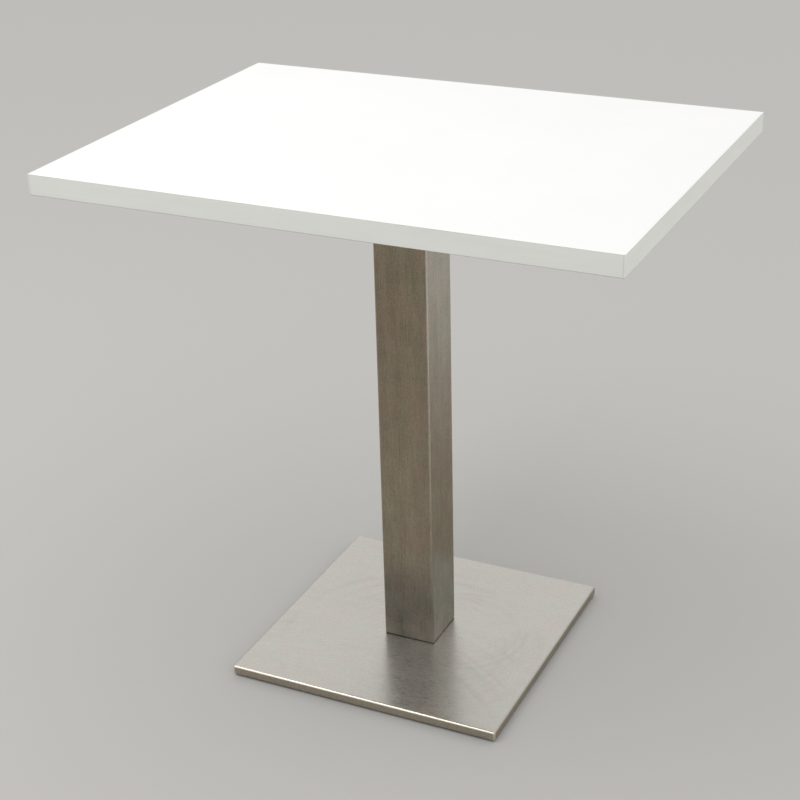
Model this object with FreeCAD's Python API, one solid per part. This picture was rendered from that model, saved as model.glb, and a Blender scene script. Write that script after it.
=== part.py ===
import FreeCAD, Part
import math
import os

# Bistro table: a laminated top on a square stainless column and a flat weighted base.
# Millimetres, +Z up. The origin is on the floor under the middle of the column,
# +X runs along the top's long side, and -Y is the front.

# Top
TABLE_HEIGHT = 775.0
TOP_LENGTH = 800.0
TOP_WIDTH = 600.0
TOP_THICKNESS = 28.0
LAMINATE_THICKNESS = 0.8
BAND_THICKNESS = 2.0
BAND_ARRIS = 0.6

# Mounting plate, screwed to the top's underside
PLATE_SIDE = 260.0
PLATE_THICKNESS = 4.0
PLATE_CORNER = 12.0
PLATE_EDGE = 1.0
PLATE_SCREW_INSET = 20.0

# Column
COLUMN_SIDE = 80.0
COLUMN_CORNER = 3.0
COLUMN_WALL = 1.5
HEAD_PLATE_THICKNESS = 6.0
FOOT_PLATE_THICKNESS = 8.0
GASKET_THICKNESS = 1.5
GASKET_SETBACK = 1.0
COLUMN_SCREW_OFFSET = 24.0

# Base
BASE_SIDE = 415.0
BASE_TOP = 16.5
RIM_HEIGHT = 4.0
COVER_SHEET = 1.2
FOLD_RADIUS = 3.0
BALLAST_UNDERSIDE = 5.0
BALLAST_GAP = 2.0
BALLAST_CORNER = 6.0

# Levelling glides: a captive nylon pad on the flange of an M8 stem
GLIDE_INSET = 47.5
PAD_RADIUS = 15.0
PAD_EDGE = 0.8
PAD_FLOOR = 1.2
PAD_LIP = 1.0
PAD_KEY_HOLE_RADIUS = 3.2
FLANGE_RADIUS = 8.0
FLANGE_THICKNESS = 2.5
FLANGE_SIDE_GAP = 0.3
FLANGE_FLOOR_GAP = 0.05
LIP_GRIP = 0.7
STEM_RADIUS = 3.95
STEM_HOLE_RADIUS = 4.0
STEM_TOP_GAP = 0.4
STEM_CHAMFER = 0.8
STEM_SOCKET_WIDTH = 4.0
STEM_SOCKET_DEPTH = 3.5

# Countersunk screws
HEAD_RIM = 0.3
TAPPED_SLACK = 0.05
CLEARANCE_SLACK = 0.3
WOOD_SCREW = {"shank": 2.5, "head": 4.8, "length": 22.0, "tip": 5.0, "point": 0.3}
M6_SCREW = {"shank": 3.0, "head": 6.0, "length": 12.0, "tip": 0.8, "point": 2.3}
M8_SCREW = {"shank": 4.0, "head": 8.0, "length": 20.0, "tip": 1.0, "point": 3.2}
CROSS_RECESS = {"reach": 2.2, "blade": 0.9, "depth": 1.8}
M6_SOCKET = {"width": 4.0, "depth": 2.0}
M8_SOCKET = {"width": 5.0, "depth": 3.0}

# Levels worked out from the sizes above
TOP_UNDERSIDE = TABLE_HEIGHT - TOP_THICKNESS
PLATE_UNDERSIDE = TOP_UNDERSIDE - PLATE_THICKNESS
COLUMN_BOTTOM = BASE_TOP + GASKET_THICKNESS
COVER_UNDERSIDE = BASE_TOP - COVER_SHEET
INNER_LENGTH = TOP_LENGTH - 2 * BAND_THICKNESS
INNER_WIDTH = TOP_WIDTH - 2 * BAND_THICKNESS
BORE_SIDE = COLUMN_SIDE - 2 * COLUMN_WALL

# Modelling allowances: how far a cutter runs past a face, how much smaller a rounding is than
# the rounding it meets, and how exactly an edge has to lie to be picked
CUT_THROUGH = 1.0
MEETING_SHARE = 0.98
TOLERANCE = 1e-6


def upright(edge):
    """True for a straight edge parallel to Z."""
    low, high = edge.Vertexes[0].Point, edge.Vertexes[-1].Point
    return abs(low.x - high.x) < TOLERANCE and abs(low.y - high.y) < TOLERANCE


def level_at(edge, height):
    """True for an edge that lies in the plane z = height."""
    box = edge.BoundBox
    return abs(box.ZMin - height) < TOLERANCE and abs(box.ZMax - height) < TOLERANCE


def block(length, width, bottom, top, corner=0.0):
    """A box centred on the Z axis, with rounded upright edges."""
    low = FreeCAD.Vector(-length / 2, -width / 2, bottom)
    solid = Part.makeBox(length, width, top - bottom, low)
    if corner:
        solid = solid.makeFillet(corner, [e for e in solid.Edges if upright(e)])
    return solid


def cylinder(radius, bottom, top):
    """A cylinder on the Z axis."""
    return Part.makeCylinder(radius, top - bottom, FreeCAD.Vector(0, 0, bottom))


def turned(outline):
    """The solid that an outline of (radius, height) points sweeps about the Z axis."""
    points = [FreeCAD.Vector(radius, 0, height) for radius, height in outline]
    face = Part.Face(Part.makePolygon(points + points[:1]))
    return face.revolve(FreeCAD.Vector(0, 0, 0), FreeCAD.Vector(0, 0, 1), 360)


def hexagon(width, bottom, top):
    """A hexagonal bar on the Z axis, width across its flats."""
    reach = width / math.sqrt(3)
    angles = [math.radians(60 * k) for k in range(6)]
    points = [FreeCAD.Vector(reach * math.cos(a), reach * math.sin(a), bottom) for a in angles]
    face = Part.Face(Part.makePolygon(points + points[:1]))
    return face.extrude(FreeCAD.Vector(0, 0, top - bottom))


def moved(shape, x, y, z=0.0):
    """A copy of the shape, shifted."""
    copy = shape.copy()
    copy.translate(FreeCAD.Vector(x, y, z))
    return copy


def upside_down(shape):
    """A copy of the shape, turned half a turn about the X axis."""
    copy = shape.copy()
    copy.rotate(FreeCAD.Vector(0, 0, 0), FreeCAD.Vector(1, 0, 0), 180)
    return copy


def save(node, *solids):
    """Writes one node, a single solid or a group of separate ones."""
    shape = solids[0] if len(solids) == 1 else Part.makeCompound(list(solids))
    shape.exportStep(f"parts/{node}.step")


# Fasteners. Each is built head down: its flat head at z = 0 and its shank upwards.


def screw_blank(size, slack=0.0):
    """A countersunk screw without its drive, or the hole for one when slack is given."""
    shank = size["shank"] + slack
    head = size["head"] + slack
    tip = size["length"] - size["tip"]
    outline = [(0, 0), (head, 0), (head, HEAD_RIM), (shank, HEAD_RIM + head - shank)]
    outline += [(shank, tip), (size["point"] + slack, size["length"]), (0, size["length"])]
    return turned(outline)


def socket_screw(size, socket):
    """A countersunk machine screw with a hexagon socket."""
    return screw_blank(size).cut(hexagon(socket["width"], 0, socket["depth"]))


def wood_screw():
    """A countersunk wood screw with a cross recess."""
    reach, blade, depth = CROSS_RECESS["reach"], CROSS_RECESS["blade"], CROSS_RECESS["depth"]
    along_x = block(2 * reach, blade, 0, depth)
    along_y = block(blade, 2 * reach, 0, depth)
    return screw_blank(WOOD_SCREW).cut(along_x).cut(along_y)


def square_spots(offset):
    """The four corners of a square centred on the column."""
    return [(x, y) for x in (-offset, offset) for y in (-offset, offset)]


def plate_screw_spots():
    """The wood screws: the mounting plate's corners and the middles of its sides."""
    offset = PLATE_SIDE / 2 - PLATE_SCREW_INSET
    middles = [(-offset, 0), (offset, 0), (0, -offset), (0, offset)]
    return square_spots(offset) + middles


def drilled(solid, cutter, spots, z=0.0):
    """The solid with the cutter taken out of it at every spot."""
    return solid.cut([moved(cutter, x, y, z) for x, y in spots])


# Top


def eased_slab():
    """The whole top's outer shape, with its outer edges eased."""
    slab = block(TOP_LENGTH, TOP_WIDTH, TOP_UNDERSIDE, TABLE_HEIGHT, BAND_ARRIS)
    long_edges = [e for e in slab.Edges if level_at(e, TOP_UNDERSIDE) or level_at(e, TABLE_HEIGHT)]
    return slab.makeFillet(BAND_ARRIS * MEETING_SHARE, long_edges)


def make_edge_bands():
    """Four straight strips, the front and back ones butted between the side ones."""
    inner = block(INNER_LENGTH, INNER_WIDTH, TOP_UNDERSIDE, TABLE_HEIGHT)
    ring = eased_slab().cut(inner)
    long_strip = block(INNER_LENGTH, BAND_THICKNESS, TOP_UNDERSIDE, TABLE_HEIGHT)
    short_strip = block(BAND_THICKNESS, TOP_WIDTH, TOP_UNDERSIDE, TABLE_HEIGHT)
    to_side = (TOP_LENGTH - BAND_THICKNESS) / 2
    to_front = (TOP_WIDTH - BAND_THICKNESS) / 2
    save("edge_band_front", ring.common(moved(long_strip, 0, -to_front)).Solids[0])
    save("edge_band_back", ring.common(moved(long_strip, 0, to_front)).Solids[0])
    save("edge_band_left", ring.common(moved(short_strip, -to_side, 0)).Solids[0])
    save("edge_band_right", ring.common(moved(short_strip, to_side, 0)).Solids[0])


def make_board():
    """The particle board with a laminate on each face, drilled for the mounting screws."""
    core_top = TABLE_HEIGHT - LAMINATE_THICKNESS
    core_underside = TOP_UNDERSIDE + LAMINATE_THICKNESS
    pilot = screw_blank(WOOD_SCREW, TAPPED_SLACK)
    core = block(INNER_LENGTH, INNER_WIDTH, core_underside, core_top)
    underside = block(INNER_LENGTH, INNER_WIDTH, TOP_UNDERSIDE, core_underside)
    save("top_laminate", block(INNER_LENGTH, INNER_WIDTH, core_top, TABLE_HEIGHT))
    save("board_core", drilled(core, pilot, plate_screw_spots(), PLATE_UNDERSIDE))
    save("underside_laminate", drilled(underside, pilot, plate_screw_spots(), PLATE_UNDERSIDE))


def make_mounting_plate():
    """The steel plate between the column and the top, countersunk from both faces."""
    plate = block(PLATE_SIDE, PLATE_SIDE, PLATE_UNDERSIDE, TOP_UNDERSIDE, PLATE_CORNER)
    rim = [e for e in plate.Edges if level_at(e, PLATE_UNDERSIDE)]
    plate = plate.makeChamfer(PLATE_EDGE, rim)
    from_below = screw_blank(WOOD_SCREW, TAPPED_SLACK)
    from_above = upside_down(screw_blank(M6_SCREW, TAPPED_SLACK))
    plate = drilled(plate, from_below, plate_screw_spots(), PLATE_UNDERSIDE)
    plate = drilled(plate, from_above, square_spots(COLUMN_SCREW_OFFSET), TOP_UNDERSIDE)
    save("mounting_plate", plate)


def make_top_screws():
    """Wood screws up into the board, and machine screws down into the column's head."""
    into_board = wood_screw()
    spots = plate_screw_spots()
    save("mounting_wood_screws", *[moved(into_board, x, y, PLATE_UNDERSIDE) for x, y in spots])
    into_column = upside_down(socket_screw(M6_SCREW, M6_SOCKET))
    spots = square_spots(COLUMN_SCREW_OFFSET)
    save("head_screws", *[moved(into_column, x, y, TOP_UNDERSIDE) for x, y in spots])


# Column


def make_column():
    """The square tube with a tapped plate inside each end."""
    outside = block(COLUMN_SIDE, COLUMN_SIDE, COLUMN_BOTTOM, PLATE_UNDERSIDE, COLUMN_CORNER)
    bore_corner = COLUMN_CORNER - COLUMN_WALL
    bore_ends = COLUMN_BOTTOM - CUT_THROUGH, PLATE_UNDERSIDE + CUT_THROUGH
    save("column_tube", outside.cut(block(BORE_SIDE, BORE_SIDE, *bore_ends, bore_corner)))
    side = BORE_SIDE - 2 * TAPPED_SLACK
    spots = square_spots(COLUMN_SCREW_OFFSET)
    head_ends = PLATE_UNDERSIDE - HEAD_PLATE_THICKNESS, PLATE_UNDERSIDE
    foot_ends = COLUMN_BOTTOM, COLUMN_BOTTOM + FOOT_PLATE_THICKNESS
    head_tapping = cylinder(M6_SCREW["shank"] + TAPPED_SLACK, *head_ends)
    foot_tapping = cylinder(M8_SCREW["shank"] + TAPPED_SLACK, *foot_ends)
    head = block(side, side, *head_ends, bore_corner)
    foot = block(side, side, *foot_ends, bore_corner)
    save("column_head_plate", drilled(head, head_tapping, spots))
    save("column_foot_plate", drilled(foot, foot_tapping, spots))


def make_gasket():
    """The thin black sheet between the column and the base, set back from the tube's faces."""
    side = COLUMN_SIDE - 2 * GASKET_SETBACK
    gasket = block(side, side, BASE_TOP, COLUMN_BOTTOM, COLUMN_CORNER - GASKET_SETBACK)
    hole = cylinder(M8_SCREW["shank"] + CLEARANCE_SLACK, BASE_TOP, COLUMN_BOTTOM)
    save("foot_gasket", drilled(gasket, hole, square_spots(COLUMN_SCREW_OFFSET)))


# Base


def rounded_tray(side, bottom, top, radius):
    """A square block with its upright edges and its top edges rounded."""
    tray = block(side, side, bottom, top, radius)
    return tray.makeFillet(radius * MEETING_SHARE, [e for e in tray.Edges if level_at(e, top)])


def make_cover():
    """The folded sheet that hides the ballast: a shallow tray, open below."""
    outside = rounded_tray(BASE_SIDE, RIM_HEIGHT, BASE_TOP, FOLD_RADIUS)
    inner_side = BASE_SIDE - 2 * COVER_SHEET
    inner_radius = FOLD_RADIUS - COVER_SHEET
    inside = rounded_tray(inner_side, RIM_HEIGHT - CUT_THROUGH, COVER_UNDERSIDE, inner_radius)
    hole = cylinder(M8_SCREW["shank"] + CLEARANCE_SLACK, COVER_UNDERSIDE, BASE_TOP)
    cover = drilled(outside.cut(inside), hole, square_spots(COLUMN_SCREW_OFFSET))
    save("base_cover", cover)


def make_ballast():
    """The thick plate that keeps the table upright, tapped for the glides."""
    side = BASE_SIDE - 2 * (COVER_SHEET + BALLAST_GAP)
    ballast = block(side, side, BALLAST_UNDERSIDE, COVER_UNDERSIDE, BALLAST_CORNER)
    screw_hole = screw_blank(M8_SCREW, TAPPED_SLACK)
    stem_hole = cylinder(STEM_HOLE_RADIUS, BALLAST_UNDERSIDE, COVER_UNDERSIDE)
    ballast = drilled(ballast, screw_hole, square_spots(COLUMN_SCREW_OFFSET), BALLAST_UNDERSIDE)
    ballast = drilled(ballast, stem_hole, square_spots(BASE_SIDE / 2 - GLIDE_INSET))
    save("base_ballast", ballast)


def make_base_screws():
    """Machine screws up through the ballast and the cover into the column's foot plate."""
    screw = socket_screw(M8_SCREW, M8_SOCKET)
    spots = square_spots(COLUMN_SCREW_OFFSET)
    save("base_screws", *[moved(screw, x, y, BALLAST_UNDERSIDE) for x, y in spots])


# Levelling glides


def glide_pad():
    """A nylon disc with a pocket that snaps over the stem's flange, and a hole for a key."""
    pad = cylinder(PAD_RADIUS, 0, BALLAST_UNDERSIDE)
    pad = pad.makeFillet(PAD_EDGE, [e for e in pad.Edges if level_at(e, 0)])
    lip_bottom = BALLAST_UNDERSIDE - PAD_LIP
    key_hole = cylinder(PAD_KEY_HOLE_RADIUS, -CUT_THROUGH, PAD_FLOOR)
    pocket = cylinder(FLANGE_RADIUS + FLANGE_SIDE_GAP, PAD_FLOOR, lip_bottom)
    mouth = cylinder(FLANGE_RADIUS - LIP_GRIP, lip_bottom, BALLAST_UNDERSIDE + CUT_THROUGH)
    return pad.cut(key_hole).cut(pocket).cut(mouth)


def glide_stem():
    """A flanged M8 stem, turned with a hexagon key from below."""
    bottom = PAD_FLOOR + FLANGE_FLOOR_GAP
    shoulder = bottom + FLANGE_THICKNESS
    top = COVER_UNDERSIDE - STEM_TOP_GAP
    outline = [(0, bottom), (FLANGE_RADIUS, bottom), (FLANGE_RADIUS, shoulder)]
    outline += [(STEM_RADIUS, shoulder), (STEM_RADIUS, top - STEM_CHAMFER)]
    outline += [(STEM_RADIUS - STEM_CHAMFER, top), (0, top)]
    return turned(outline).cut(hexagon(STEM_SOCKET_WIDTH, bottom, bottom + STEM_SOCKET_DEPTH))


def make_glides():
    """Four glides, one near each corner of the base."""
    offset = BASE_SIDE / 2 - GLIDE_INSET
    pad, stem = glide_pad(), glide_stem()
    for across, x in (("left", -offset), ("right", offset)):
        for along, y in (("front", -offset), ("back", offset)):
            save(f"glide_pad_{along}_{across}", moved(pad, x, y))
            save(f"glide_stem_{along}_{across}", moved(stem, x, y))


os.makedirs("parts", exist_ok=True)
make_board()
make_edge_bands()
make_mounting_plate()
make_top_screws()
make_column()
make_gasket()
make_cover()
make_ballast()
make_base_screws()
make_glides()
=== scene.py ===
import math

import bmesh
import bpy
from mathutils import Matrix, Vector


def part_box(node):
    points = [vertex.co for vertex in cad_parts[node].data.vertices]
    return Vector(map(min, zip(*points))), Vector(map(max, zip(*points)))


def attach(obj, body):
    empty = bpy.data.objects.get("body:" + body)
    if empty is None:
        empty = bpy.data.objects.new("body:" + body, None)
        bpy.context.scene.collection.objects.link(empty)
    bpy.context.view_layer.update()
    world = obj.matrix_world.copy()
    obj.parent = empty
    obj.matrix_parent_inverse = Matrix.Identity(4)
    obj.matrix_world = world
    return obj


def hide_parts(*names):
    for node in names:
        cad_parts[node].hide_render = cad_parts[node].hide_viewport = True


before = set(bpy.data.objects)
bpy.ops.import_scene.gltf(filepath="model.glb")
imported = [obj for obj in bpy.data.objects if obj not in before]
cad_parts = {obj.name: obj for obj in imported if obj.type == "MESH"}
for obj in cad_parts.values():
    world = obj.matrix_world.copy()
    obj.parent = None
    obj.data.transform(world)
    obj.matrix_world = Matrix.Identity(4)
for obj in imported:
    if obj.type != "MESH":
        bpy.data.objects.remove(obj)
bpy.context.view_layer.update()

# The camera: where it stands in metres, how it turns, dips and leans in degrees, and its lens in mm.
CAMERA_PLACE = (0.9375, -1.9848, 1.4396)
CAMERA_HEADING = 25.85
CAMERA_DIP = 25.44
CAMERA_LEAN = -1.53
CAMERA_LENS = 76.77
CAMERA_SENSOR = 36.0

# The studio. Colours are linear, and the last number of each is its alpha. A way is a direction, and
# a fade is the two values between which something comes in.
FLOOR_SIDE = 400.0
FLOOR_COLOUR = (0.49, 0.48, 0.463, 1)
BACKDROP = (0.55, 0.54, 0.522, 1)
SKY_LEFT = (0.85, 0.85, 0.845, 1)
SKY_RIGHT = (1.50, 1.50, 1.495, 1)
SKY_HORIZON = (0.30, 0.30, 0.295, 1)
HORIZON_FADE = (-0.05, 0.7)

# What polished metal mirrors in place of the floor: brown boards, and a pale wall to the right.
NEAR_BOARDS = (0.305, 0.262, 0.206, 1)
FAR_BOARDS = (0.235, 0.200, 0.153, 1)
BOARDS_FADE = (-1.2, -0.35)
WALL_MIRRORED = (0.52, 0.50, 0.47, 1)
WALL_WAY = (0.95, 0.3, 0.0)
WALL_FADE = (0.48, 1.15)

# What it mirrors in place of the sky: a room with a skylight, and a pale wall behind on the left. The
# deep tones are for rays that have bounced before. Ray depth is 2 after one bounce, and 3 after two.
ROOM_IN_FRONT = (0.62, 0.605, 0.58, 1)
WALL_BEHIND = (0.885, 0.872, 0.845, 1)
ROOM_WAY = (-0.7, 0.71, 0.0)
ROOM_FADE = (0.2, 0.88)
SKYLIGHT = (1.65, 1.55, 1.38, 1)
SKYLIGHT_WAY = (-0.46, -0.57, 0.68)
SKYLIGHT_FADE = (0.76, 0.86)
ROOM_DEEP = (0.135, 0.117, 0.097, 1)
WALL_DEEP = (0.40, 0.38, 0.35, 1)
DEEP_FADE = (0.2, 0.8)
FIRST_BOUNCE_DEPTH = 2.5

# One long softbox overhead, over the table's left.
SOFTBOX_PLACE = (-1.22, -1.0, 2.95)
SOFTBOX_WIDTH = 0.6
SOFTBOX_LENGTH = 1.9
SOFTBOX_POWER = 18.0
SOFTBOX_COLOUR = (1.0, 0.99, 0.97)

RIGHT = (1, 0, 0)
BACK = (0, 1, 0)
UP = (0, 0, 1)


# Node helpers

SCRATCH_START = 0.665
SCRATCH_EDGE = 0.02


def new_material(name):
    """An empty node material, its tree and its Principled shader."""
    material = bpy.data.materials.new(name)
    material.use_nodes = True
    tree = material.node_tree
    tree.nodes.clear()
    shader = tree.nodes.new("ShaderNodeBsdfPrincipled")
    output = tree.nodes.new("ShaderNodeOutputMaterial")
    tree.links.new(shader.outputs["BSDF"], output.inputs["Surface"])
    return material, tree, shader


def put(tree, socket, value):
    """Sets a socket to a constant, or links another socket to it."""
    if isinstance(value, bpy.types.NodeSocket):
        tree.links.new(value, socket)
    else:
        socket.default_value = value


def add(tree, kind, inputs=None, **settings):
    """A new node with its settings and inputs filled in."""
    made = tree.nodes.new(kind)
    for name, value in settings.items():
        setattr(made, name, value)
    for name, value in (inputs or {}).items():
        put(tree, made.inputs[name], value)
    return made


def place(tree, scale=(1, 1, 1), turn=0.0):
    """The row frame's coordinates, turned about Z in degrees, then multiplied axis by axis."""
    spot = add(tree, "ShaderNodeTexCoord").outputs["Object"]
    if turn:
        fill = {"Vector": spot, "Rotation": (0, 0, math.radians(turn))}
        spot = add(tree, "ShaderNodeMapping", fill).outputs["Vector"]
    return add(tree, "ShaderNodeMapping", {"Vector": spot, "Scale": scale}).outputs["Vector"]


def unsigned_place(tree):
    """The row frame's coordinates without their signs, so that all four corners are one."""
    return add(tree, "ShaderNodeVectorMath", {0: place(tree)}, operation="ABSOLUTE").outputs["Vector"]


def noise(tree, lumps, detail=3, roughness=0.5, turn=0.0):
    """Noise from 0 to 1, with this many lumps a metre, as one number or one for each axis."""
    scale = lumps if isinstance(lumps, tuple) else (lumps, lumps, lumps)
    fill = {"Vector": place(tree, scale, turn), "Scale": 1.0, "Detail": detail, "Roughness": roughness}
    return add(tree, "ShaderNodeTexNoise", fill).outputs["Fac"]


def spread(tree, value, start=0.3, end=0.7, low=0.0, high=1.0):
    """The value's stretch from start to end, carried to low to high."""
    fill = {"Value": value, "From Min": start, "From Max": end, "To Min": low, "To Max": high}
    return add(tree, "ShaderNodeMapRange", fill).outputs["Result"]


def combine(tree, operation, first, second):
    """One arithmetic step between two values."""
    made = add(tree, "ShaderNodeMath", operation=operation)
    put(tree, made.inputs[0], first)
    put(tree, made.inputs[1], second)
    return made.outputs["Value"]


def times(tree, first, *others):
    """The product of values."""
    for other in others:
        first = combine(tree, "MULTIPLY", first, other)
    return first


def weighed(tree, *terms, plain=0.0):
    """The sum of values, each multiplied by its weight, and of a plain amount."""
    total = plain
    for value, weight in terms:
        total = combine(tree, "ADD", total, times(tree, value, weight))
    return total


def blend(tree, share, first, second, way="MIX"):
    """Two colours mixed by a share from 0 to 1."""
    made = add(tree, "ShaderNodeMix", data_type="RGBA", blend_type=way)
    put(tree, made.inputs["Factor"], share)
    put(tree, made.inputs["A"], first)
    put(tree, made.inputs["B"], second)
    return made.outputs["Result"]


def stained(tree, shade, share, colour, strength):
    """A shade with a colour laid over it, by a share from 0 to 1 times a strength."""
    return blend(tree, times(tree, share, strength), shade, colour)


def along(tree, vector, way):
    """How far a vector reaches along a direction."""
    made = add(tree, "ShaderNodeVectorMath", operation="DOT_PRODUCT")
    put(tree, made.inputs[0], vector)
    put(tree, made.inputs[1], way)
    return made.outputs["Value"]


def floor_height(tree):
    """How high above the floor, in metres."""
    return along(tree, place(tree), UP)


def band(tree, value, low, high, fade):
    """1 between two values and 0 outside them, with a fade of this width inside each end."""
    rise = spread(tree, value, low, low + fade)
    fall = spread(tree, value, high - fade, high, 1, 0)
    return times(tree, rise, fall)


def scratches(tree, lumps, turn, start=SCRATCH_START):
    """Hair scratches, 1 along a scratch and 0 elsewhere. The higher the start, the fewer they are."""
    return spread(tree, noise(tree, lumps, detail=2, turn=turn), start, start + SCRATCH_EDGE)


def surface(tree, shader, shade, rough, metallic=0.0):
    """The shader's colour, roughness and share of metal."""
    put(tree, shader.inputs["Base Color"], shade)
    put(tree, shader.inputs["Roughness"], rough)
    shader.inputs["Metallic"].default_value = metallic


def relief(tree, shader, height, depth, strength):
    """Bump from a height value, depth in metres."""
    fill = {"Height": height, "Distance": depth, "Strength": strength}
    put(tree, shader.inputs["Normal"], add(tree, "ShaderNodeBump", fill).outputs["Normal"])


# Laminates, edging and board

LAMINATE_WHITE = (0.862, 0.862, 0.862, 1)
LAMINATE_CLOUD = (0.842, 0.843, 0.847, 1)
LAMINATE_SCRATCH = (0.70, 0.70, 0.69, 1)


def white_laminate():
    """Satin white high-pressure laminate: a pearl grain, wiped patches and a few hair scratches."""
    material, tree, shader = new_material("white_laminate")
    clouds = noise(tree, 6)
    wiped = noise(tree, (4, 26, 4), detail=4, roughness=0.6, turn=24)
    pearl = noise(tree, 1500, detail=2)
    some = scratches(tree, (5, 900, 5), turn=37, start=0.70)
    others = scratches(tree, (7, 800, 7), turn=-16, start=0.71)
    marks = combine(tree, "MAXIMUM", some, others)
    shade = blend(tree, spread(tree, clouds), LAMINATE_WHITE, LAMINATE_CLOUD)
    shade = stained(tree, shade, marks, LAMINATE_SCRATCH, strength=0.10)
    rough = weighed(tree, (spread(tree, wiped), 0.10), (marks, 0.12), (pearl, 0.06), plain=0.27)
    surface(tree, shader, shade, rough)
    relief(tree, shader, weighed(tree, (pearl, 1.0), (marks, -0.8)), depth=0.00002, strength=0.35)
    return material


BAND_PALE = (0.90, 0.915, 0.874, 1)
BAND_CLOUD = (0.865, 0.880, 0.843, 1)
BAND_LINE = (0.79, 0.802, 0.764, 1)
BAND_SPECK = (0.45, 0.42, 0.37, 1)
# Dark for the corner joints, and for adhesive lines with painted shade along the rounded upper and lower
# edges.
BAND_SEAM_AND_SHADE = (0.24, 0.225, 0.20, 1)

# The darker lines of the edge bands, in metres from the bands' upper edge, lower edge and corner joint.
# Those along the upper and lower edges are adhesive with painted shade of the rounded edges.
UPPER_GLUE_AND_SHADE = (-0.00095, -0.00005)
UPPER_GLUE_AND_SHADE_FADE = 0.0004
UPPER_GLUE_AND_SHADE_DARKNESS = 0.5
LOWER_GLUE_AND_SHADE = (-0.0013, 0.0009)
LOWER_GLUE_AND_SHADE_FADE = 0.0006
LOWER_GLUE_AND_SHADE_DARKNESS = 0.9
JOINT_FADE = (0.0002, 0.0005)
JOINT_DARKNESS = 0.38


def band_seams_and_shade(tree):
    """Darker lines: adhesive with painted shade along the rounded upper edge under the top laminate, the
    same along the lower edge, and a butt joint at each corner.
    """
    low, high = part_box("edge_band_front")
    height = floor_height(tree)
    # Adhesive lines with painted shade along the rounded upper and lower edges.
    upper_glue_and_shade = band(tree, height, high[2] + UPPER_GLUE_AND_SHADE[0], high[2] + UPPER_GLUE_AND_SHADE[1], UPPER_GLUE_AND_SHADE_FADE)
    lower_glue_and_shade = band(tree, height, low[2] + LOWER_GLUE_AND_SHADE[0], low[2] + LOWER_GLUE_AND_SHADE[1], LOWER_GLUE_AND_SHADE_FADE)
    past_joint = combine(tree, "SUBTRACT", along(tree, unsigned_place(tree), RIGHT), high[0])
    joint = spread(tree, combine(tree, "ABSOLUTE", past_joint, 0), *JOINT_FADE, 1, 0)
    upper_glue_and_shade = times(tree, upper_glue_and_shade, UPPER_GLUE_AND_SHADE_DARKNESS)
    lower_glue_and_shade = times(tree, lower_glue_and_shade, LOWER_GLUE_AND_SHADE_DARKNESS)
    joint = times(tree, joint, JOINT_DARKNESS)
    return combine(tree, "MAXIMUM", combine(tree, "MAXIMUM", upper_glue_and_shade, lower_glue_and_shade), joint)


def edge_band():
    """Pale extruded plastic edging, with fine lines along it, specks, dark corner joints, and adhesive lines
    with painted shade along its rounded upper and lower edges.
    """
    material, tree, shader = new_material("edge_band")
    lines = noise(tree, (6, 6, 2600))
    clouds = noise(tree, (14, 14, 50), detail=4)
    specks = spread(tree, noise(tree, 900, detail=2), 0.68, 0.76)
    shade = blend(tree, spread(tree, clouds), BAND_PALE, BAND_CLOUD)
    shade = blend(tree, spread(tree, lines, high=0.35), shade, BAND_LINE)
    shade = stained(tree, shade, band_seams_and_shade(tree), BAND_SEAM_AND_SHADE, strength=spread(tree, clouds, low=0.75))
    shade = stained(tree, shade, specks, BAND_SPECK, strength=0.25)
    surface(tree, shader, shade, weighed(tree, (lines, 0.14), (clouds, 0.10), plain=0.34))
    relief(tree, shader, lines, depth=0.00002, strength=0.4)
    return material


BACKING_PALE = (0.70, 0.69, 0.655, 1)
BACKING_CLOUD = (0.63, 0.615, 0.58, 1)
BACKING_FRECKLE = (0.36, 0.32, 0.27, 1)
BACKING_SCRATCH = (0.45, 0.43, 0.40, 1)


def backing_laminate():
    """Pale backing sheet with a sanded grain, glue freckles and handling marks."""
    material, tree, shader = new_material("backing_laminate")
    sanded = noise(tree, (20, 1300, 20))
    clouds = noise(tree, 9, detail=5, roughness=0.6)
    freckles = spread(tree, noise(tree, 700, detail=2), 0.66, 0.74)
    marks = scratches(tree, (6, 700, 6), turn=52)
    shade = blend(tree, spread(tree, clouds), BACKING_PALE, BACKING_CLOUD)
    shade = stained(tree, shade, freckles, BACKING_FRECKLE, strength=0.35)
    shade = stained(tree, shade, marks, BACKING_SCRATCH, strength=0.3)
    surface(tree, shader, shade, weighed(tree, (sanded, 0.15), (clouds, 0.15), plain=0.42))
    relief(tree, shader, weighed(tree, (sanded, 0.7), (marks, -0.6)), depth=0.00003, strength=0.4)
    return material


CHIP_BROWN = (0.24, 0.145, 0.075, 1)
CHIP_PALE = (0.60, 0.45, 0.28, 1)


def chips(tree, lumps):
    """Wood chips, this many a metre along each axis: the cells' distances and random colours."""
    return add(tree, "ShaderNodeTexVoronoi", {"Vector": place(tree, lumps), "Scale": 1.0}).outputs


def particle_board():
    """Pressed wood chips of two sizes, pale and brown, with pits between them."""
    material, tree, shader = new_material("particle_board")
    large = chips(tree, (320, 320, 900))
    small = chips(tree, (1100, 900, 1500))
    large_pick = along(tree, large["Color"], (0.5, 0.5, 0))
    pick = weighed(tree, (large_pick, 0.6), (along(tree, small["Color"], (1, 0, 0)), 0.4))
    shade = blend(tree, spread(tree, pick, 0.2, 0.8), CHIP_BROWN, CHIP_PALE)
    surface(tree, shader, shade, spread(tree, pick, low=0.78, high=0.95))
    relief(tree, shader, weighed(tree, (large["Distance"], -0.6), (pick, 0.6)), depth=0.0004, strength=0.6)
    return material


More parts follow.
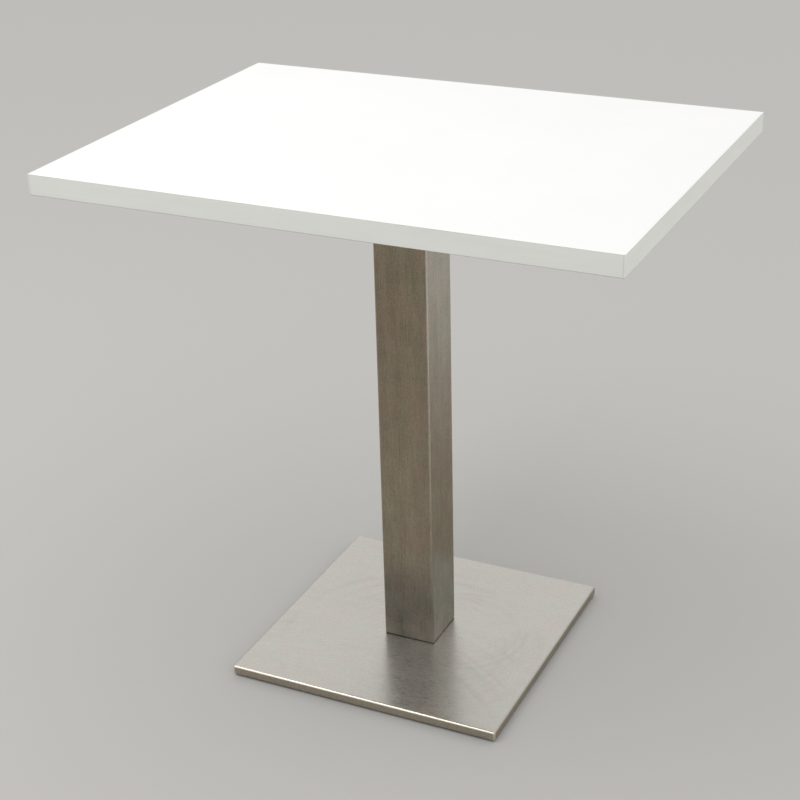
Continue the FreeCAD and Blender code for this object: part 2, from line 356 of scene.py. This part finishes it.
# Brushed stainless steel
#
# A look says what one brushed surface is like:
# - fine, coarse and broad are the grain's lines a metre along each axis, and flecks is the share of
#   the grain that runs no way
# - dark and light are its colours, and casts are two tints over them in patches
# - rough is its plain roughness, and torn is what the fine lines add
# - scratch is the scratches' lumps a metre, turn and start
# - the upright edges' entry is how far they are from the Z axis, the width painted bright, and how bright: a
#   painted highlight along the column's rounded corners, and a smoothed weld with a painted highlight on the
#   cover's
# - foot is the height that scuffing starts from, if there is any
# - wipes are sets of arcs, each with its middle and the radii that it lies between

STEEL_SCRATCH = (0.80, 0.79, 0.77, 1)
STEEL_SCUFF = (0.82, 0.775, 0.71, 1)
STEEL_WIPED = (0.50, 0.487, 0.465, 1)
# Bright along the upright corners: a painted highlight on the column's rounded corners, and a smoothed weld
# with a painted highlight on the cover's.
STEEL_WELD_AND_HIGHLIGHT = (0.93, 0.93, 0.88, 1)
SCUFF_HEIGHT = 0.10
ARCS_PER_METRE = 75
ARCS_FADE = 0.03

COLUMN_LOOK = {
    "fine": (2600, 2600, 34),
    "coarse": (900, 900, 16),
    "broad": (60, 60, 5),
    "flecks": 0.36,
    "dark": (0.385, 0.368, 0.350, 1),
    "light": (0.675, 0.651, 0.628, 1),
    "casts": ((0.955, 1.0, 0.935, 1), (1.0, 0.955, 0.915, 1)),
    "rough": 0.22,
    "torn": 0.12,
    "metallic": 1.0,
    "anisotropy": 0.5,
    "rotation": 0.0,
    "scratch": ((900, 900, 7), 0, 0.70),
    # A painted highlight along the tube's rounded corners.
    "corner_weld_and_highlight": (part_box("column_tube")[1][0], 0.0028, 0.5),
    "foot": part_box("column_tube")[0][2],
    "wipes": (),
}
COVER_LOOK = {
    "fine": (150, 3600, 3600),
    "coarse": (26, 900, 900),
    "broad": (8, 60, 60),
    "flecks": 0.06,
    "dark": (0.592, 0.579, 0.557, 1),
    "light": (0.645, 0.632, 0.61, 1),
    "casts": ((0.975, 1.0, 0.965, 1), (1.0, 0.972, 0.955, 1)),
    "rough": 0.185,
    "torn": 0.21,
    "metallic": 0.94,
    "anisotropy": 0.3,
    "rotation": 0.25,
    "scratch": ((9, 900, 900), 12, 0.71),
    # A smoothed weld along the corners, with a painted highlight on it.
    "corner_weld_and_highlight": (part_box("base_cover")[1][0], 0.0035, 0.85),
    "foot": None,
    "wipes": (((0.06, 0.01), 0.05, 0.15), ((-0.08, -0.42), 0.28, 0.48), ((0.02, -0.05), 0.10, 0.24)),
}


def corner_welds_and_highlights(tree, reach, width, strength):
    """The strength along the four upright edges of a square about the Z axis, and 0 elsewhere."""
    spot = unsigned_place(tree)
    sides = [spread(tree, along(tree, spot, way), reach - width, reach - width / 2) for way in (RIGHT, BACK)]
    return times(tree, *sides, strength)


def wiped_arcs(tree, centre, inner, outer):
    """Faint arcs where a cloth has gone round a point, between two radii: 1 in an arc and 0 elsewhere."""
    fill = {"Vector": place(tree), "Location": (-centre[0], -centre[1], 0), "Scale": (1, 1, 0)}
    spot = add(tree, "ShaderNodeMapping", fill).outputs["Vector"]
    radius = add(tree, "ShaderNodeVectorMath", {0: spot}, operation="LENGTH").outputs["Value"]
    fill = {"W": times(tree, radius, ARCS_PER_METRE), "Scale": 1.0, "Detail": 2.0}
    rings = add(tree, "ShaderNodeTexNoise", fill, noise_dimensions="1D").outputs["Fac"]
    rings = spread(tree, rings, 0.44, 0.66)
    patches = spread(tree, noise(tree, 10, detail=2), 0.44, 0.64)
    return times(tree, rings, patches, band(tree, radius, inner, outer, ARCS_FADE))


def scuffed_foot(tree, foot, smudge):
    """Dull scuffs that fade out above a height, broken up by smudges: from 0 to 1."""
    fade = spread(tree, floor_height(tree), foot, foot + SCUFF_HEIGHT, 1, 0)
    return times(tree, combine(tree, "POWER", fade, 2), spread(tree, smudge, 0.38, 0.62))


def steel_grain(tree, look, hair, lines, smudge):
    """The colour of the grain, with its casts."""
    flecks = look["flecks"]
    bands = noise(tree, look["broad"], detail=2)
    mottle = noise(tree, 520, roughness=0.6)
    # The weights add up to 1, and the flecks take theirs from the finest lines.
    runs = ((hair, 0.54 - flecks), (lines, 0.22), (bands, 0.12), (smudge, 0.12))
    grain = weighed(tree, *runs, (mottle, flecks))
    shade = blend(tree, spread(tree, grain, 0.41, 0.59), look["dark"], look["light"])
    patches = spread(tree, noise(tree, (34, 34, 18), roughness=0.55), 0.36, 0.64)
    return blend(tree, 1.0, shade, blend(tree, patches, *look["casts"]), "MULTIPLY")


def steel_marks_and_highlights(tree, look, lines, smudge):
    """What lies over the grain (scratches, scuffs, wiping marks, and bright corners with a painted
    highlight): for each kind its share, colour, strength and added roughness.
    """
    marks_and_highlights = [(scratches(tree, *look["scratch"]), STEEL_SCRATCH, 0.3, 0.06)]
    if look["foot"] is not None:
        marks_and_highlights.append((scuffed_foot(tree, look["foot"], smudge), STEEL_SCUFF, 0.7, 0.12))
    for wipe in look["wipes"]:
        marks_and_highlights.append((wiped_arcs(tree, *wipe), STEEL_WIPED, 0.22, 0.03))
    # Bright along the upright corners: a painted highlight, with a smoothed weld under it on the cover.
    weld_and_highlight = times(tree, corner_welds_and_highlights(tree, *look["corner_weld_and_highlight"]), spread(tree, lines, low=0.6))
    marks_and_highlights.append((weld_and_highlight, STEEL_WELD_AND_HIGHLIGHT, 1.0, 0.18))
    return marks_and_highlights


def brushed(name, look):
    """Brushed stainless steel with the grain, marks and painted corner highlights that its look says."""
    material, tree, shader = new_material(name)
    hair = noise(tree, look["fine"], roughness=0.6)
    lines = noise(tree, look["coarse"], roughness=0.55)
    smudge = noise(tree, 22, detail=5, roughness=0.6)
    shade = steel_grain(tree, look, hair, lines, smudge)
    rough = [(spread(tree, smudge), 0.035), (spread(tree, hair, 0.4, 0.6), look["torn"])]
    for share, colour, strength, added in steel_marks_and_highlights(tree, look, lines, smudge):
        shade = stained(tree, shade, share, colour, strength)
        rough.append((share, added))
    surface(tree, shader, shade, weighed(tree, *rough, plain=look["rough"]), look["metallic"])
    shader.inputs["Anisotropic"].default_value = look["anisotropy"]
    shader.inputs["Anisotropic Rotation"].default_value = look["rotation"]
    relief(tree, shader, weighed(tree, (hair, 0.7), (lines, 0.3)), depth=0.00002, strength=0.12)
    return material


# Paint, rubber, nylon and the metals underneath

POWDER_BLACK = (0.020, 0.020, 0.021, 1)
POWDER_PEEL = (0.034, 0.034, 0.035, 1)
POWDER_DUST = (0.20, 0.19, 0.175, 1)


def powder_coat():
    """Black powder coating: orange peel with a finer pebble on it, and settled dust."""
    material, tree, shader = new_material("powder_coat")
    peel = noise(tree, 420, detail=2)
    pebble = noise(tree, 1700, detail=2)
    dust = noise(tree, 26, detail=5, roughness=0.65)
    shade = blend(tree, spread(tree, peel), POWDER_BLACK, POWDER_PEEL)
    shade = blend(tree, spread(tree, dust, 0.5, 0.75, high=0.22), shade, POWDER_DUST)
    surface(tree, shader, shade, weighed(tree, (peel, 0.18), (dust, 0.22), plain=0.30))
    relief(tree, shader, weighed(tree, (peel, 0.7), (pebble, 0.3)), depth=0.00012, strength=0.5)
    return material


RUBBER_BLACK = (0.016, 0.016, 0.016, 1)
RUBBER_BLOOM = (0.040, 0.038, 0.035, 1)


def rubber():
    """Black sheet rubber with a dull bloom and a calendered grain."""
    material, tree, shader = new_material("rubber")
    grain = noise(tree, 1400)
    bloom = noise(tree, 45, detail=5, roughness=0.65)
    shade = blend(tree, spread(tree, bloom), RUBBER_BLACK, RUBBER_BLOOM)
    surface(tree, shader, shade, weighed(tree, (bloom, 0.2), (grain, 0.1), plain=0.6))
    relief(tree, shader, grain, depth=0.00006, strength=0.5)
    return material


PRIMER_DARK = (0.040, 0.041, 0.043, 1)
PRIMER_LUMP = (0.068, 0.068, 0.068, 1)
RUST_DARK = (0.10, 0.035, 0.012, 1)
RUST_BRIGHT = (0.26, 0.11, 0.045, 1)


def painted_casting():
    """Dark primer over a sandy casting, with rust freckles where the paint has chipped."""
    material, tree, shader = new_material("painted_casting")
    sand = noise(tree, 650, detail=4, roughness=0.6)
    lumps = noise(tree, 60)
    chipped = spread(tree, noise(tree, 130, detail=5, roughness=0.6), 0.64, 0.67)
    shade = blend(tree, spread(tree, lumps), PRIMER_DARK, PRIMER_LUMP)
    shade = blend(tree, chipped, shade, blend(tree, sand, RUST_DARK, RUST_BRIGHT))
    surface(tree, shader, shade, weighed(tree, (sand, 0.2), (chipped, 0.2), plain=0.45))
    height = weighed(tree, (sand, 0.6), (lumps, 0.6), (chipped, -0.4))
    relief(tree, shader, height, depth=0.0003, strength=0.5)
    return material


NYLON_BLACK = (0.020, 0.020, 0.021, 1)
NYLON_CLOUD = (0.034, 0.034, 0.034, 1)
NYLON_SCUFF = (0.17, 0.165, 0.155, 1)
SLIDING_FADE = (0.0001, 0.0007)


def nylon():
    """Black moulded nylon, scuffed pale where it slides on the floor."""
    material, tree, shader = new_material("nylon")
    spark = noise(tree, 2200, detail=2)
    clouds = noise(tree, 120, detail=4, roughness=0.6)
    scuffs = noise(tree, (60, 1200, 60), detail=4, roughness=0.6, turn=31)
    floor_side = spread(tree, floor_height(tree), *SLIDING_FADE, 1, 0)
    worn = times(tree, floor_side, spread(tree, scuffs, 0.45, 0.65, high=0.8))
    shade = blend(tree, spread(tree, clouds), NYLON_BLACK, NYLON_CLOUD)
    shade = blend(tree, worn, shade, NYLON_SCUFF)
    surface(tree, shader, shade, weighed(tree, (clouds, 0.14), (worn, 0.3), plain=0.34))
    relief(tree, shader, weighed(tree, (spark, 0.5), (worn, -0.4)), depth=0.00005, strength=0.45)
    return material


ZINC_BLUE = (0.56, 0.60, 0.66, 1)
ZINC_STRAW = (0.68, 0.65, 0.55, 1)
ZINC_STAIN = (0.42, 0.42, 0.41, 1)


def zinc():
    """Bright zinc plating with faint blue and straw passivation and turning marks."""
    material, tree, shader = new_material("zinc")
    film = noise(tree, 170, detail=4, roughness=0.6)
    turning = noise(tree, (120, 120, 5200), detail=2)
    stains = spread(tree, noise(tree, 420, detail=4, roughness=0.6), 0.62, 0.72)
    shade = blend(tree, spread(tree, film), ZINC_BLUE, ZINC_STRAW)
    shade = stained(tree, shade, stains, ZINC_STAIN, strength=0.5)
    surface(tree, shader, shade, weighed(tree, (film, 0.12), (stains, 0.15), plain=0.24), metallic=1.0)
    relief(tree, shader, turning, depth=0.00002, strength=0.4)
    return material


OXIDE_BLACK = (0.035, 0.036, 0.040, 1)
OXIDE_BROWN = (0.075, 0.068, 0.060, 1)
OXIDE_RUBBED = (0.30, 0.29, 0.275, 1)


def black_oxide():
    """Oiled black oxide on steel, rubbed brighter in places."""
    material, tree, shader = new_material("black_oxide")
    film = noise(tree, 240, detail=4, roughness=0.6)
    turning = noise(tree, (150, 150, 4200), detail=2)
    rubbed = spread(tree, noise(tree, 620, roughness=0.6), 0.60, 0.72, high=0.6)
    shade = blend(tree, spread(tree, film), OXIDE_BLACK, OXIDE_BROWN)
    shade = blend(tree, rubbed, shade, OXIDE_RUBBED)
    surface(tree, shader, shade, weighed(tree, (film, 0.18), (rubbed, -0.08), plain=0.32), metallic=1.0)
    relief(tree, shader, turning, depth=0.00003, strength=0.4)
    return material


SCALE_BLUE = (0.12, 0.125, 0.14, 1)
SCALE_GREY = (0.20, 0.19, 0.18, 1)
SCALE_FLAKED = (0.38, 0.365, 0.34, 1)


def mill_steel():
    """Hot-rolled steel: blue-grey scale, flaked to dull metal, with saw lines."""
    material, tree, shader = new_material("mill_steel")
    scale = noise(tree, 40, detail=6, roughness=0.65)
    flakes = spread(tree, noise(tree, 95, detail=5, roughness=0.65), 0.52, 0.58)
    saw = noise(tree, (1500, 30, 1500), detail=2)
    shade = blend(tree, spread(tree, scale), SCALE_BLUE, SCALE_GREY)
    shade = blend(tree, flakes, shade, SCALE_FLAKED)
    surface(tree, shader, shade, weighed(tree, (scale, 0.25), (flakes, -0.12), plain=0.42), metallic=1.0)
    height = weighed(tree, (scale, 0.6), (flakes, -0.3), (saw, 0.3))
    relief(tree, shader, height, depth=0.00012, strength=0.5)
    return material


# The CAD nodes' materials


def dress(material, *names):
    """Gives CAD nodes a material in place of the one they came with."""
    for name in names:
        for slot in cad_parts[name].material_slots:
            slot.material = material


GLIDES = ("front_left", "front_right", "back_left", "back_right")
NYLON = nylon()
ZINC = zinc()
BLACK_OXIDE = black_oxide()

dress(white_laminate(), "top_laminate")
dress(edge_band(), "edge_band_front", "edge_band_back", "edge_band_left", "edge_band_right")
dress(backing_laminate(), "underside_laminate")
dress(particle_board(), "board_core")
dress(powder_coat(), "mounting_plate")
dress(brushed("column_steel", COLUMN_LOOK), "column_tube")
dress(brushed("cover_steel", COVER_LOOK), "base_cover")
dress(rubber(), "foot_gasket")
dress(painted_casting(), "base_ballast")
dress(NYLON, *["glide_pad_" + corner for corner in GLIDES])
dress(ZINC, "mounting_wood_screws", *["glide_stem_" + corner for corner in GLIDES])
dress(BLACK_OXIDE, "head_screws", "base_screws")
dress(mill_steel(), "column_head_plate", "column_foot_plate")


# Turned pieces. They stand for the plain CAD fasteners and pads, with real threads and mouldings.

MM = 0.001
SCREW_SIDES = 36
WOOD_SCREW_SIDES = 48
PAD_SIDES = 72
SMOOTH_ANGLE = 32

# Half of a thread's flat crest, its flank and the depth of its root, as shares of its pitch
CREST_HALF = 0.0625
FLANK = 0.3125
ROOT_DEPTH = 0.6134
RINGS_PER_PITCH = 12

# How long a thread takes to draw in at its end, and its last ring as a share of the tip
TIP_LENGTH = 1.0
TIP_END = 0.97

# crest, head and tip are radii, flange and undercut are heights, key is a width across flats, cross
# is a blade's reach and thickness, and point is the tip's length where it isn't TIP_LENGTH.
M8_SCREW = {"crest": 3.97, "pitch": 1.25, "head": 8.0, "tip": 3.15, "key": 5.0, "key_depth": 3.0}
M6_SCREW = {"crest": 2.98, "pitch": 1.0, "head": 6.0, "tip": 2.3, "key": 4.0, "key_depth": 2.0}
WOOD_SCREW = {
    "crest": 2.48,
    "pitch": 2.2,
    "head": 4.8,
    "tip": 0.25,
    "point": 5.0,
    "cross": (2.2, 0.9),
    "key_depth": 1.8,
}
GLIDE_STEM = {
    "crest": 3.94,
    "pitch": 1.25,
    "flange": 2.5,
    "undercut": 0.7,
    "tip": 3.1,
    "key": 4.0,
    "key_depth": 3.5,
}
HEAD_RIM = 0.3
HEAD_CHAMFER = 0.1
KEY_CHAMFER = 0.15
CROSS_TAPER = (0.4, 0.6)
LEAST_SLOPE = 0.01

# The pads. The grooves and the key hole are radii, and a groove's outline is out and up from there.
PAD_CHAMFER = 0.3
PAD_ROUNDING = 0.8
ROUNDING_STEPS = 4
PAD_GROOVES = (6.0, 8.5, 11.0)
GROOVE_OUTLINE = ((-0.35, 0.0), (-0.15, 0.25), (0.15, 0.25), (0.35, 0.0))
KEY_HOLE = 3.2
LIP_THICKNESS = 1.0
LIP_OVERLAP = 0.7
FLANGE_SIDE_GAP = 0.3
FLANGE_FLOOR_GAP = 0.05


def circle(radius):
    """A ring of one reach all round."""
    return lambda angle: radius


def hexagon(width):
    """A six-sided ring, width across its flats."""
    return lambda angle: width / 2 / math.cos((angle + math.pi / 6) % (math.pi / 3) - math.pi / 6)


def cross(reach, blade):
    """A cross-shaped ring: four blades of this reach and thickness."""

    def edge(angle):
        slope = min(abs(math.sin(angle)), abs(math.cos(angle)))
        return min(reach, blade / 2 / max(slope, LEAST_SLOPE))

    return edge


def thread_ring(height, size, root, share):
    """One level of a right-hand thread, drawn in to a share of its size."""

    def reach(angle):
        turn = (height / size["pitch"] - angle / (2 * math.pi)) % 1.0
        fall = min(max((abs(turn - 0.5) - CREST_HALF) / FLANK, 0.0), 1.0)
        return share * (size["crest"] - (size["crest"] - root) * fall)

    return reach


def thread(size, bottom, top, tip_length):
    """The rings of a thread from its shoulder to its tip."""
    root = size["crest"] - ROOT_DEPTH * size["pitch"]
    count = round((top - bottom) / size["pitch"] * RINGS_PER_PITCH)
    rings = []
    for k in range(1, count):
        height = bottom + (top - bottom) * k / count
        left = min((top - height) / tip_length, 1.0)
        share = (size["tip"] + (size["crest"] - size["tip"]) * left) / size["crest"]
        rings.append((height, thread_ring(height, size, root, share)))
    rings.append((top, circle(size["tip"] * TIP_END)))
    return rings


def recess(size):
    """The rings of a six-sided or cross-shaped recess, from its bottom to its chamfered mouth."""
    if "cross" in size:
        reach, blade = size["cross"]
        bottom = cross(reach * CROSS_TAPER[0], blade * CROSS_TAPER[1])
        inside = cross(reach, blade)
        mouth = cross(reach + KEY_CHAMFER, blade + KEY_CHAMFER)
    else:
        bottom = hexagon(size["key"])
        inside = hexagon(size["key"])
        mouth = hexagon(size["key"] + 2 * KEY_CHAMFER)
    return [(size["key_depth"], bottom), (KEY_CHAMFER, inside), (0.0, mouth)]


def screw_rings(size, length):
    """A countersunk screw from its recess to its tip, head down at height 0."""
    head = size["head"]
    neck = size["crest"] - ROOT_DEPTH * size["pitch"] / 2
    shoulder = HEAD_RIM + head - neck
    rings = recess(size)
    rings += [(0.0, circle(head - HEAD_CHAMFER)), (HEAD_CHAMFER, circle(head))]
    rings += [(HEAD_RIM, circle(head)), (shoulder, circle(neck))]
    return rings + thread(size, shoulder, length, size.get("point", TIP_LENGTH))


def stem_rings(size, length, radius):
    """A stem with a flange of this radius, from its socket to its tip, standing on height 0."""
    flange = size["flange"]
    undercut = flange + size["undercut"]
    edge, neck = radius - KEY_CHAMFER, size["crest"] - ROOT_DEPTH * size["pitch"]
    rings = recess(size)
    rings += [(0.0, circle(edge)), (KEY_CHAMFER, circle(radius))]
    rings += [(flange - KEY_CHAMFER, circle(radius)), (flange, circle(edge))]
    rings += [(flange, circle(neck)), (undercut, circle(neck))]
    return rings + thread(size, undercut, length, TIP_LENGTH)


def pad_rings(height, radius, flange, floor):
    """A moulded pad with a rounded rim, a ringed underside, a key hole and a lipped pocket for a flange."""
    mouth, pocket, lip = flange - LIP_OVERLAP, flange + FLANGE_SIDE_GAP, height - LIP_THICKNESS
    profile = [(KEY_HOLE, PAD_CHAMFER), (KEY_HOLE + PAD_CHAMFER, 0.0)]
    for groove in PAD_GROOVES:
        profile += [(groove + out, level) for out, level in GROOVE_OUTLINE]
    for k in range(ROUNDING_STEPS + 1):
        turn = math.pi / 2 * k / ROUNDING_STEPS
        reach = radius - PAD_ROUNDING + PAD_ROUNDING * math.sin(turn)
        profile.append((reach, PAD_ROUNDING - PAD_ROUNDING * math.cos(turn)))
    profile += [(radius, height - PAD_CHAMFER), (radius - PAD_CHAMFER, height)]
    profile += [(mouth + PAD_CHAMFER, height), (mouth, height - PAD_CHAMFER)]
    profile += [(mouth, lip), (pocket, lip), (pocket, floor), (KEY_HOLE, floor)]
    return [(level, circle(reach)) for reach, level in profile]


def ring_points(mesh, spot, way, height, reach, sides):
    """One ring of points about the upright axis through a spot. way is 1 upwards and -1 downwards."""
    points = []
    for k in range(sides):
        angle = 2 * math.pi * k / sides
        x = spot[0] + MM * reach(angle) * math.cos(angle)
        y = spot[1] + MM * way * reach(angle) * math.sin(angle)
        points.append(mesh.verts.new((x, y, spot[2] + MM * way * height)))
    return points


def bridged(mesh, low, high):
    """Faces between one ring of points and the next."""
    for k, point in enumerate(low):
        after = (k + 1) % len(low)
        mesh.faces.new((point, low[after], high[after], high[k]))


def turned(name, rings, spots, material, sides=SCREW_SIDES, down=False, hollow=False):
    """A piece made of rings about an upright axis, once at every spot.

    down turns it over, and hollow joins its last ring to its first.
    """
    mesh = bmesh.new()
    way = -1 if down else 1
    for spot in spots:
        loops = [ring_points(mesh, spot, way, height, reach, sides) for height, reach in rings]
        for low, high in zip(loops, loops[1:]):
            bridged(mesh, low, high)
        if hollow:
            bridged(mesh, loops[-1], loops[0])
        else:
            mesh.faces.new(loops[0])
            mesh.faces.new(loops[-1])
    bmesh.ops.recalc_face_normals(mesh, faces=mesh.faces)
    data = bpy.data.meshes.new(name)
    mesh.to_mesh(data)
    mesh.free()
    data.shade_smooth()
    data.set_sharp_from_angle(angle=math.radians(SMOOTH_ANGLE))
    data.materials.append(material)
    piece = bpy.data.objects.new(name, data)
    bpy.context.scene.collection.objects.link(piece)
    return piece


def square(box, head, level, middles):
    """The screws' places from their CAD box and heads' radius: its corners, and maybe its sides' middles."""
    reach = box[1][0] - head * MM
    spots = [(x, y, level) for x in (-reach, reach) for y in (-reach, reach)]
    if middles:
        spots += [(-reach, 0, level), (reach, 0, level), (0, -reach, level), (0, reach, level)]
    return spots


def make_screws(name, node, size, material, sides=SCREW_SIDES, down=False, middles=False):
    """One group of countersunk screws, in place of its CAD node."""
    low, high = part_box(node)
    rings = screw_rings(size, (high[2] - low[2]) / MM)
    spots = square((low, high), size["head"], high[2] if down else low[2], middles)
    piece = turned(name, rings, spots, material, sides, down)
    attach(piece, "table")
    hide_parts(node)


def make_glide(corner):
    """One pad and its threaded stem."""
    low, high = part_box("glide_pad_" + corner)
    stem_low, stem_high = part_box("glide_stem_" + corner)
    x, y = (low[0] + high[0]) / 2, (low[1] + high[1]) / 2
    flange = (stem_high[0] - stem_low[0]) / 2 / MM

    floor = (stem_low[2] - low[2]) / MM - FLANGE_FLOOR_GAP
    rings = pad_rings((high[2] - low[2]) / MM, (high[0] - low[0]) / 2 / MM, flange, floor)
    spots = [(x, y, low[2])]
    pad = turned("levelling_pad_" + corner, rings, spots, NYLON, PAD_SIDES, hollow=True)
    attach(pad, "pad_" + corner)
    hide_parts("glide_pad_" + corner)

    rings = stem_rings(GLIDE_STEM, (stem_high[2] - stem_low[2]) / MM, flange)
    spots = [(x, y, stem_low[2])]
    stem = turned("levelling_stem_" + corner, rings, spots, ZINC)
    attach(stem, "stem_" + corner)
    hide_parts("glide_stem_" + corner)


make_screws("base_machine_screws", "base_screws", M8_SCREW, BLACK_OXIDE)
make_screws("head_machine_screws", "head_screws", M6_SCREW, BLACK_OXIDE, down=True)
make_screws(
    "wood_screw_set", "mounting_wood_screws", WOOD_SCREW, ZINC, WOOD_SCREW_SIDES, middles=True
)
for glide in GLIDES:
    make_glide(glide)


# Stage


def make_floor():
    """A wide pale floor. Polished metal mirrors it as brown boards, and as a pale wall to the right."""
    bpy.ops.mesh.primitive_plane_add(size=FLOOR_SIDE, location=(0, 0, 0))
    floor = bpy.context.object
    floor.name = "floor"
    material = bpy.data.materials.new("floor")
    material.use_nodes = True
    tree = material.node_tree
    tree.nodes.clear()
    spot = place(tree)
    # The mirrored boards are lighter near the table: painted light against the table's shade on them.
    near = spread(tree, along(tree, spot, BACK), *BOARDS_FADE)
    wall = spread(tree, along(tree, spot, WALL_WAY), *WALL_FADE)
    mirrored = blend(tree, wall, blend(tree, near, FAR_BOARDS, NEAR_BOARDS), WALL_MIRRORED)
    seen = add(tree, "ShaderNodeBsdfDiffuse", {"Color": FLOOR_COLOUR}).outputs["BSDF"]
    reflected = add(tree, "ShaderNodeBsdfDiffuse", {"Color": mirrored}).outputs["BSDF"]
    glossy = add(tree, "ShaderNodeLightPath").outputs["Is Glossy Ray"]
    mixed = add(tree, "ShaderNodeMixShader", {0: glossy, 1: seen, 2: reflected}).outputs["Shader"]
    add(tree, "ShaderNodeOutputMaterial", {"Surface": mixed})
    floor.data.materials.append(material)


def soft_sky(tree, way):
    """Soft white light, stronger from the right and dimmer near the horizon."""
    right = spread(tree, along(tree, way, RIGHT), -1, 1)
    up = spread(tree, along(tree, way, UP), *HORIZON_FADE)
    return blend(tree, up, SKY_HORIZON, blend(tree, right, SKY_LEFT, SKY_RIGHT))


def mirrored_room(tree, way, depth):
    """The room that polished metal mirrors: its wall and skylight, and deep tones after other bounces."""
    once = combine(tree, "LESS_THAN", depth, FIRST_BOUNCE_DEPTH)
    wall = spread(tree, along(tree, way, ROOM_WAY), *ROOM_FADE)
    skylight = times(tree, spread(tree, along(tree, way, SKYLIGHT_WAY), *SKYLIGHT_FADE), once)
    deep = blend(tree, spread(tree, along(tree, way, BACK), *DEEP_FADE), ROOM_DEEP, WALL_DEEP)
    front = blend(tree, once, deep, ROOM_IN_FRONT)
    return blend(tree, skylight, blend(tree, wall, front, WALL_BEHIND), SKYLIGHT)


def make_sky():
    """Soft light from all round, a plain backdrop, and the room that polished metal mirrors."""
    world = bpy.data.worlds.new("studio")
    bpy.context.scene.world = world
    world.use_nodes = True
    tree = world.node_tree
    tree.nodes.clear()
    way = add(tree, "ShaderNodeTexCoord").outputs["Generated"]
    path = add(tree, "ShaderNodeLightPath").outputs
    seen = blend(tree, path["Is Camera Ray"], soft_sky(tree, way), BACKDROP)
    tint = blend(tree, path["Is Glossy Ray"], seen, mirrored_room(tree, way, path["Ray Depth"]))
    shade = add(tree, "ShaderNodeBackground", {"Color": tint, "Strength": 1.0}).outputs["Background"]
    add(tree, "ShaderNodeOutputWorld", {"Surface": shade})


def make_softbox():
    """A long softbox, facing straight down."""
    data = bpy.data.lights.new("softbox", "AREA")
    data.shape = "RECTANGLE"
    data.size = SOFTBOX_WIDTH
    data.size_y = SOFTBOX_LENGTH
    data.energy = SOFTBOX_POWER
    data.color = SOFTBOX_COLOUR
    light = bpy.data.objects.new("softbox", data)
    light.location = SOFTBOX_PLACE
    bpy.context.scene.collection.objects.link(light)


def make_camera():
    """The camera, turned by its heading, dip and lean."""
    data = bpy.data.cameras.new("camera")
    data.lens = CAMERA_LENS
    data.sensor_width = CAMERA_SENSOR
    camera = bpy.data.objects.new("camera", data)
    turn = Matrix.Rotation(math.radians(CAMERA_HEADING), 4, "Z")
    tip = Matrix.Rotation(math.radians(90 - CAMERA_DIP), 4, "X")
    lean = Matrix.Rotation(math.radians(CAMERA_LEAN), 4, "Z")
    camera.matrix_world = Matrix.Translation(CAMERA_PLACE) @ turn @ tip @ lean
    bpy.context.scene.collection.objects.link(camera)
    bpy.context.scene.camera = camera


make_floor()
make_sky()
make_softbox()
make_camera()
bpy.context.scene.view_settings.view_transform = "Standard"
